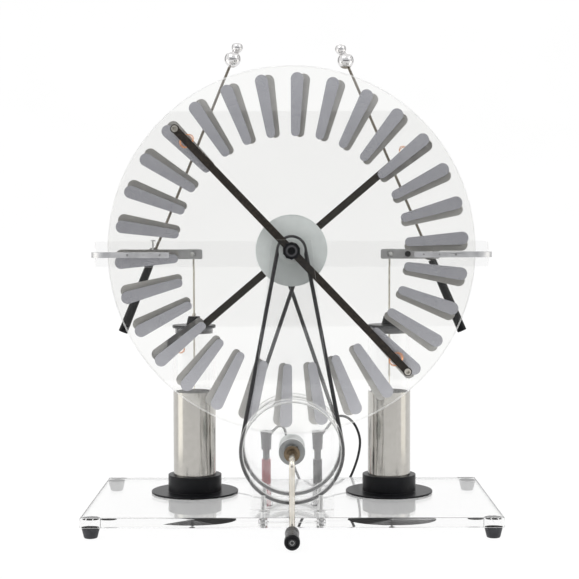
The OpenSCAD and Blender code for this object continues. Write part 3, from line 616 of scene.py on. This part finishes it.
SLOT_OF = {s["node"]: s["material_slot"] for s in frame["record"]["subparts"]}
BEVELS = {
    "base_plate": 0.5, "front_upright": 0.4, "rear_upright": 0.4, "crossbar": 0.4,
    "front_boss": 0.25, "rear_boss": 0.25,
    "jar_cups": 0.35, "jar_lids": 0.3, "rubber_feet": 0.5, "left_comb": 0.12, "right_comb": 0.12,
    "link_plates": 0.15, "front_bar": 0.25, "rear_bar": 0.25, "front_wheel_hub": 0.35,
    "rear_wheel_hub": 0.3, "crank_bushes": 0.2, "crank_collars": 0.2, "front_knob": 0.35,
    "rear_knob": 0.35, "jar_terminals": 0.3, "terminal_studs": 0.15, "stud_nuts": 0.25,
    "patch_plugs": 0.3, "red_socket": 0.25, "black_socket": 0.25, "crank_grip": 0.3,
    "left_electrode": 0.12, "right_electrode": 0.12, "left_handle": 0.5, "right_handle": 0.5,
    "main_axle": 0.4, "front_holders": 0.15, "rear_holders": 0.15, "socket_nuts": 0.2,
    "left_jar_tube": 0.2, "right_jar_tube": 0.2, "terminal_screws": 0.15, "plate_screws": 0.25,
    "frame_screws": 0.2, "grip_screw": 0.2,
}
OWN_FINISH = {"front_bar": "front_bar", "rear_bar": "rear_bar", "crank_bushes": "bush_bronze",
              "crank_collars": "bush_bronze"}
for name in NODES:
    slot = SLOT_OF[name]
    material = M[OWN_FINISH.get(name, slot)]
    dress(name, material, BEVELS.get(name, 0.0))


# ---------------------------------------------------------------- patch lead

LEAD_D = 2.5
PLUG_RISE = 27.6
# part.scad's route, with y from the middle of the base. Its point at (34, 114.5) is 0.1 mm nearer
# here, because this tube is rounder than the CAD one and would stand past the CAD box.
LEAD_ROUTE = [
    (-18.4, 75, 70.7), (-16.2, 75.2, 72.9), (-12.8, 77, 75.2), (-9, 81, 74.2), (-6.5, 85, 69),
    (-5, 90, 59), (-2, 97, 46), (1.5, 103.5, 33), (5.5, 107, 22), (10.5, 109, 11.6),
    (17, 111, 4.6), (25, 113.5, 1.7), (34, 114.4, 1.5), (43, 113, 2.2), (50.5, 110.5, 6.7),
    (57, 107.5, 15), (62.5, 103.5, 28), (66.5, 98, 43), (67.5, 92.5, 58), (63, 87, 72),
    (55, 82.5, 81.3), (46, 79, 83.4), (38.6, 76.4, 79.2), (34, 75.2, 73.3), (31.6, 75, 70.7),
]
BASE_Y = (BASE_LOW.y + BASE_HIGH.y) / 2
lead_path = smooth_path([(x, y + BASE_Y, z) for x, y, z in LEAD_ROUTE])
lead = add_tubes("patch_lead_cord", [lead_path], LEAD_D / 2, "lead_black")
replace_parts(lead, "patch_lead")

collars = Shape()
for side in (-1, 1):
    here = Matrix.Translation((side * SOCKET.x, SOCKET.y, SOCKET_TOP + PLUG_RISE - 0.4))
    collars.lathe([(2.1, 0), (5.5, 0), (5.75, 0.3), (5.75, 0.8), (5.4, 1.15), (2.5, 1.15),
                   (2.1, 0.8)], here, steps=40)
plug_collars = collars.finish("plug_collars", "frame", "plug_grey", "frosted")


# ---------------------------------------------------------------- belts

PULLEY_PITCH, WHEEL_PITCH, BELT_R = 12.0, 45.5, 1.8


def belt_path(turn, lift, y):
    """Closed path round pulley and wheel: turn -1 open, 1 crossed, with strands aside by lift."""
    a = math.asin((WHEEL_PITCH + turn * PULLEY_PITCH) / (AXLE_Z - CRANK_Z))
    share = PULLEY_PITCH / (PULLEY_PITCH + WHEEL_PITCH)

    def arc(r, start, end, z, steps):
        return [(r * math.cos(start + (end - start) * k / steps), 0,
                 z + r * math.sin(start + (end - start) * k / steps)) for k in range(steps + 1)]

    def strand(p, q, aside, at, steps=36):
        p, q = Vector(p), Vector(q)
        out = []
        for k in range(1, steps):
            s = k / steps
            part = s / at if s < at else (1 - s) / (1 - at)
            out.append(p.lerp(q, s) + Vector((0, aside * math.sin(math.pi / 2 * part) ** 2, 0)))
        return out

    top = arc(PULLEY_PITCH, -turn * a, math.pi + turn * a, AXLE_Z, 40)
    if turn < 0:
        low = arc(WHEEL_PITCH, math.pi - a, 2 * math.pi + a, CRANK_Z, 96)
    else:
        low = arc(WHEEL_PITCH, a, -math.pi - a, CRANK_Z, 96)
    path = [Vector(p) for p in top] + strand(top[-1], low[0], lift, share)
    path += [Vector(p) for p in low] + strand(low[-1], top[0], -lift, 1 - share)
    return [p + Vector((0, y, 0)) for p in path]


for name, turn, lift, sign in (("front_belt", -1, 0.0, -1), ("rear_belt", 1, 1.95, 1)):
    belt = add_tubes(name + "_round", [belt_path(turn, lift, MID_Y + sign * BELT_OUT)],
                     BELT_R, "belt", sides=18, cyclic=True)
    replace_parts(belt, name)


# ---------------------------------------------------------------- neutralizer brushes

WIRE_LEAN = 40  # degrees from the disc's face
DISC_GAP = 0.85
LOOP_STEPS = 48


def brush_points(phase, spread, radius):
    """One wire of a brush: out of the holder, round a loop that brushes the sectors, and back."""
    points = []
    centre_y = DISC_FAR + DISC_GAP + radius * math.sin(math.radians(WIRE_LEAN))
    for k in range(LOOP_STEPS + 1):
        a = math.pi * (0.06 + 1.88 * k / LOOP_STEPS)
        along = radius * math.cos(a)
        across = radius * math.sin(a) * (1 + 0.1 * math.sin(3 * a + phase))
        lean = math.radians(WIRE_LEAN + spread)
        points.append(Vector((
            HOLDER_R - 13 + along * math.cos(lean), centre_y + along * math.sin(lean),
            across + 0.35 * math.sin(2 * a + phase))))
    start = Vector((HOLDER_R - 1.2, 19.4, 0.45 * math.cos(phase)))
    end = Vector((HOLDER_R - 1.2, 19.4, -0.45 * math.cos(phase)))
    return smooth_path([start] + points[::3] + [end], 2)


def brushes(name, tilt, sign, node, body):
    """Both ends' brushes of one bar: five looped wires each, bound by two turns of wire."""
    wires = Shape()
    for flip in (0, math.pi):
        place = Matrix.Translation((0, MID_Y, AXLE_Z)) @ Matrix.Rotation(tilt + flip, 4, "Y")
        for k in range(5):
            route = brush_points(1.3 * k + flip, 3.0 * (k - 2) / 2, 5.9 + 0.16 * k)
            wires.tube([place @ Vector((p.x, sign * p.y, p.z)) for p in route], 0.17, 6)
        for turn in range(2):
            wires.tube([
                place @ Vector((HOLDER_R - 2.1 - 0.9 * turn + 0.02 * k,
                                sign * (18.9 - 0.9 * turn + 0.75 * math.sin(k * math.pi / 8)),
                                0.95 * math.cos(k * math.pi / 8)))
                for k in range(17)], 0.16, 5)
    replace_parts(wires.finish(name, body, "copper"), node)


brushes("front_brush_wires", FRONT_TILT, -1, "front_brushes", "front_neutralizer")
brushes("rear_brush_wires", REAR_TILT, 1, "rear_brushes", "rear_neutralizer")


# ---------------------------------------------------------------- wires under the base

WIRE_D = 1.4
WIRE_ROUTE = [
    (58, 30), (51, 27), (43, 19.5), (35, 11), (28.6, 3), (24.8, -7), (23.6, -20), (22.4, -29),
    (20, -32), (17.9, -28), (18, -18), (19, 0), (19.6, 20), (19.8, 45), (19.8, 62), (20.2, 68),
    (22.2, 70.4),
]
wire_path = smooth_path([(x, y + BASE_Y, BASE_LOW.z - 0.8) for x, y in WIRE_ROUTE])
wires = add_tubes(
    "under_base_wires", [wire_path, [(-p.x, p.y, p.z) for p in wire_path]], WIRE_D / 2, "wire_grey")
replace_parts(wires, "jar_wires")


# ---------------------------------------------------------------- threads, recesses and trim

STEPS_A_TURN = 14
STUD_X, UPRIGHT_SCREW_X, PLATE_SCREW_X = 128.6, 12.5, 107.4
# Places along Y, from the middle plane between the discs
COMB_FRONT, PLATE_HEADS, LOCK_SCREWS = MID_Y + 10.65, MID_Y + 35.15, MID_Y + 42.2
UPRIGHT_BACK, STUD_END = MID_Y + 48.15, MID_Y + 60.4
AXLE_THREADS = ((MID_Y - 40, -1, 5), (MID_Y + 47, 1, 6))
KNOB_FACE = MID_Y - 46.4


def thread(shape, place, radius, length, pitch, ridge):
    """A helical ridge on +Z of a place."""
    turns = length / pitch
    steps = max(8, int(turns * STEPS_A_TURN))
    path = [place @ Vector((radius * math.cos(2 * math.pi * turns * k / steps),
                            radius * math.sin(2 * math.pi * turns * k / steps),
                            length * k / steps)) for k in range(steps + 1)]
    shape.tube(path, ridge, 4)


trim = Shape()
for side in (-1, 1):
    thread(trim, Matrix.Translation((side * JAR_X, JAR_Y, COMB_Z - 24)), 0.9, 19, 0.7, 0.16)
    thread(trim, Matrix.Translation((side * JAR_X, JAR_Y, JAR_TOP + 13.6)), 0.9, 5, 0.7, 0.16)
    thread(trim, along_y(side * STUD_X, STUD_END, COMB_Z, -1), 1.95, 2.6, 0.7, 0.12)
trim.finish("rod_threads", "frame", "nickel")

axle_end = Shape()
for y, sign, length in AXLE_THREADS:
    thread(axle_end, along_y(0, y, AXLE_Z, sign), 3.96, length, 1.0, 0.16)
axle_end.finish("axle_threads", "frame", "axle_steel")

heads = Shape()
dark = Shape()
for side in (-1, 1):
    comb_screw = along_y(side * STUD_X, COMB_FRONT, COMB_Z, -1)
    heads.socket_head(comb_screw, 2.52, 0.5, 1.25, 0.45, cross=True)
    upright_screw = along_y(side * UPRIGHT_SCREW_X, UPRIGHT_BACK, COMB_Z, 1)
    heads.socket_head(upright_screw, 2.78, 0.3, 1.5, 0.28)
    plate_screw = along_y(side * PLATE_SCREW_X, PLATE_HEADS, COMB_Z, -1)
    dark.socket_head(plate_screw, 2.72, 0.4, 1.45, 0.35)
    lock_screw = Matrix.Translation((side * STUD_X, LOCK_SCREWS, COMB_Z + 12.85))
    heads.socket_head(lock_screw, 2.22, 0.35, 1.2, 0.3, cross=True)
heads.finish("socket_screw_heads", "frame", "screw_steel")
dark.finish("black_screw_heads", "frame", "black_screw")

ring = Shape()
ring.lathe([(3.2, 0), (3.2, 1.9), (3.45, 2.2), (4.9, 2.2), (5.15, 2.0), (5.0, 1.7), (3.6, 0)],
           along_y(0, KNOB_FACE, AXLE_Z, -1), steps=48)
ring.finish("front_knob_ring", "front_nut", "black_plastic", "knob_ring")

grip_end = Shape()
grip_end.socket_head(along_y(0, GRIP_FRONT + 1.25, GRIP_Z, -1), 3.4, 0.75, 1.5, 0.6)
grip_end.finish("grip_screw_head", "crank", "black_screw")
RIM_R, RIM_STEPS = 1.7, 32
rim_angles = [2 * math.pi * k / RIM_STEPS for k in range(RIM_STEPS)]
rim = Shape()
rim.tube([(RIM_R * math.cos(a), GRIP_FRONT + 0.42, GRIP_Z + RIM_R * math.sin(a))
          for a in rim_angles], 0.22, 8, cyclic=True)
rim.finish("grip_screw_rim", "crank", "screw_steel")


# ---------------------------------------------------------------- studio

def add_floor():
    """White paper that lies just under the feet and curves up behind the machine."""
    half_width, level, bend_start, bend_r, bend_steps, top = 9000, -0.25, 2600, 1400, 12, 6000
    path = [(-half_width, level), (bend_start, level)]
    for k in range(1, bend_steps + 1):
        a = math.pi / 2 * k / bend_steps
        path.append((bend_start + bend_r * math.sin(a), level + bend_r - bend_r * math.cos(a)))
    path.append((bend_start + bend_r, top))
    shape = Shape()
    rows = [[shape.bm.verts.new((x, y, z)) for x in (-half_width, half_width)] for y, z in path]
    for low, high in zip(rows, rows[1:]):
        shape.bm.faces.new((low[0], low[1], high[1], high[0]))
    floor = add_object("studio_floor", shape.to_mesh("studio_floor"))
    f = Finish("paper", Roughness=0.9, Specular_IOR_Level=0.1, Emission_Strength=1.0)
    shade = f.noise(f.coords(), 3.0)
    f.colour(f.ramp(shade, (0.3, (0.06, 0.06, 0.06)), (0.7, (0.08, 0.08, 0.08))))
    f.bsdf.inputs["Emission Color"].default_value = (0.95, 0.95, 0.95, 1)
    floor.data.materials.append(f.mat)


add_floor()


TARGET = (0, 0, 0.22)


def add_area(name, place, size, power):
    """A soft white lamp aimed at the machine."""
    data = bpy.data.lights.new(name, "AREA")
    data.shape = "RECTANGLE"
    data.size, data.size_y = size
    data.energy = power
    lamp = add_object(name, data)
    lamp.location = place
    aim = Vector(TARGET) - Vector(place)
    lamp.rotation_euler = aim.to_track_quat("-Z", "Y").to_euler()
    lamp.visible_camera = False


# Rays that have passed through clear parts see the cards past this too: black stays black there
BEHIND_CAMERA = -2.0


def add_card(name, place, target, size, colour, strength):
    """A glowing card that the camera never sees: dark flags and bright strips for reflections."""
    mesh = bpy.data.meshes.new(name)
    w, h = size[0] / 2, size[1] / 2
    mesh.from_pydata([(-w, -h, 0), (w, -h, 0), (w, h, 0), (-w, h, 0)], [], [(0, 1, 2, 3)])
    card = add_object(name, mesh)
    card.location = place
    card.rotation_euler = (Vector(target) - Vector(place)).to_track_quat("Z", "Y").to_euler()
    mat = bpy.data.materials.new(name)
    mat.use_nodes = True
    tree = mat.node_tree
    tree.nodes.clear()
    glow = tree.nodes.new("ShaderNodeEmission")
    glow.inputs["Color"].default_value = (*colour, 1)
    glow.inputs["Strength"].default_value = strength
    out = tree.nodes.new("ShaderNodeOutputMaterial")
    tree.links.new(glow.outputs[0], out.inputs[0])
    mesh.materials.append(mat)
    card.visible_camera = False
    card.visible_diffuse = False
    card.visible_transmission = place[1] < BEHIND_CAMERA
    card.visible_shadow = False


add_area("key", (-1.2, -1.7, 2.5), (1.8, 1.4), 18)
add_area("fill", (1.9, -1.2, 1.6), (1.4, 1.4), 6)
add_area("back", (0, 2.2, 2.4), (2.4, 1.4), 12)
add_card("room_dark", (0, -3.4, 0.28), (0, 0, 0.28), (6.4, 0.76), (0.97, 0.98, 1), 0.12)
add_card("room_grey", (0, -3.4, 1.68), (0, 0, 1.68), (6.4, 2.04), (0.97, 0.98, 1), 0.78)
add_card("camera_dark", (0, -2.6, 0.26), (0, 0, 0.26), (2.6, 0.62), (1, 1, 1), 0.17)
add_card("floor_grey", (0, -2.3, 0.004), (0, -2.3, 1), (5.0, 2.2), (0.97, 0.98, 1), 0.6)
add_card("soft_left", (-0.44, -0.03, 0.16), (0, -0.03, 0.16), (0.2, 0.44), (1, 0.985, 0.94), 1.9)
add_card("strip_left_far", (-2.2, 1.5, 0.5), TARGET, (0.8, 3.4), (1, 0.96, 0.92), 0.12)
add_card("strip_right", (2.1, -1.7, 0.5), TARGET, (0.3, 3.4), (1, 0.96, 0.92), 0.1)
add_card("soft_right", (0.44, -0.03, 0.16), (0, -0.03, 0.16), (0.2, 0.44), (1, 0.985, 0.94), 1.6)
add_card("strip_right_near", (2.5, -0.25, 0.5), TARGET, (0.4, 3.4), (1, 0.94, 0.88), 0.12)
add_card("strip_right_far", (2.2, 1.5, 0.5), TARGET, (0.8, 3.4), (1, 0.96, 0.92), 0.12)


def add_world():
    """White all round, but weaker for diffuse rays, so that the lights still model the shapes."""
    world = bpy.data.worlds.new("studio")
    world.use_nodes = True
    tree = world.node_tree
    rays = tree.nodes.new("ShaderNodeLightPath")
    level = tree.nodes.new("ShaderNodeMapRange")
    level.inputs["To Min"].default_value = 1.0
    level.inputs["To Max"].default_value = 0.5
    tree.links.new(rays.outputs["Is Diffuse Ray"], level.inputs["Value"])
    sky = tree.nodes["Background"]
    sky.inputs["Color"].default_value = (1, 1, 1, 1)
    tree.links.new(level.outputs[0], sky.inputs["Strength"])
    return world


world = add_world()
scene = bpy.context.scene
scene.world = world
scene.view_settings.view_transform = "Standard"
scene.cycles.max_bounces = 28
scene.cycles.transmission_bounces = 28
scene.cycles.transparent_max_bounces = 16
scene.cycles.glossy_bounces = 8
scene.cycles.diffuse_bounces = 4
scene.cycles.caustics_refractive = True
scene.cycles.caustics_reflective = False
